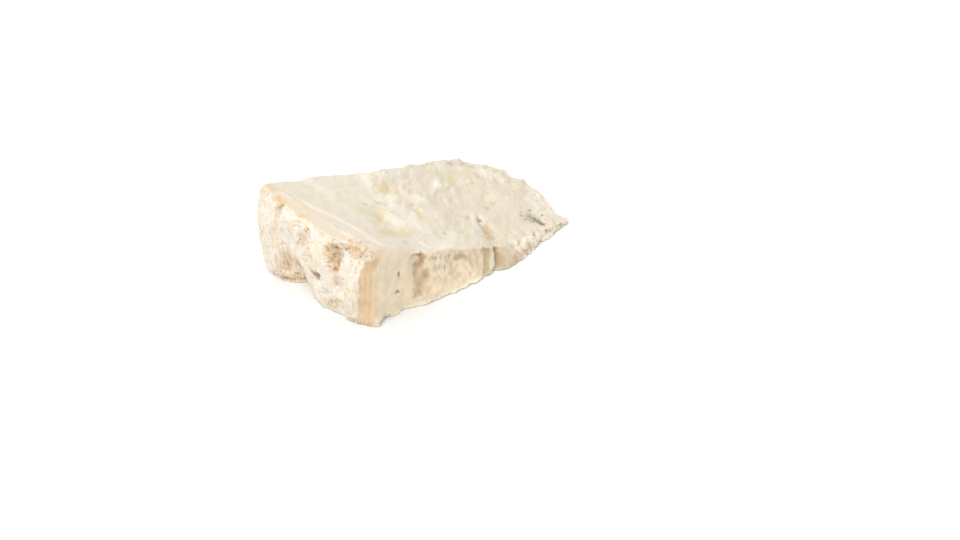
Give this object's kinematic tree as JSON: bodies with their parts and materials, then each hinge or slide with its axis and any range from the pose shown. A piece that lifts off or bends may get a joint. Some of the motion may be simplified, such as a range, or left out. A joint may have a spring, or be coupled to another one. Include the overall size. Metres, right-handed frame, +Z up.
{
  "type": "blue cheese wedge",
  "caption": "Wedge of soft, creamy blue cheese lying on a cut face, with a crusty pale rind, a lumpy torn upper face and a thin broken end.",
  "frame": {"origin": "middle of the underside's bounding rectangle, on the surface that the wedge lies on", "axes": "+X from the outer rind to the thin end, +Y from the split face to the wheel's flat rind, +Z up"},
  "size_m": [0.1757, 0.1, 0.0579],
  "materials": {
    "cheese": "moist cream paste with a dry pale rind"
  },
  "bodies": {
    "root": {"cheese_wedge": "cheese"}
  },
  "joints": []
}
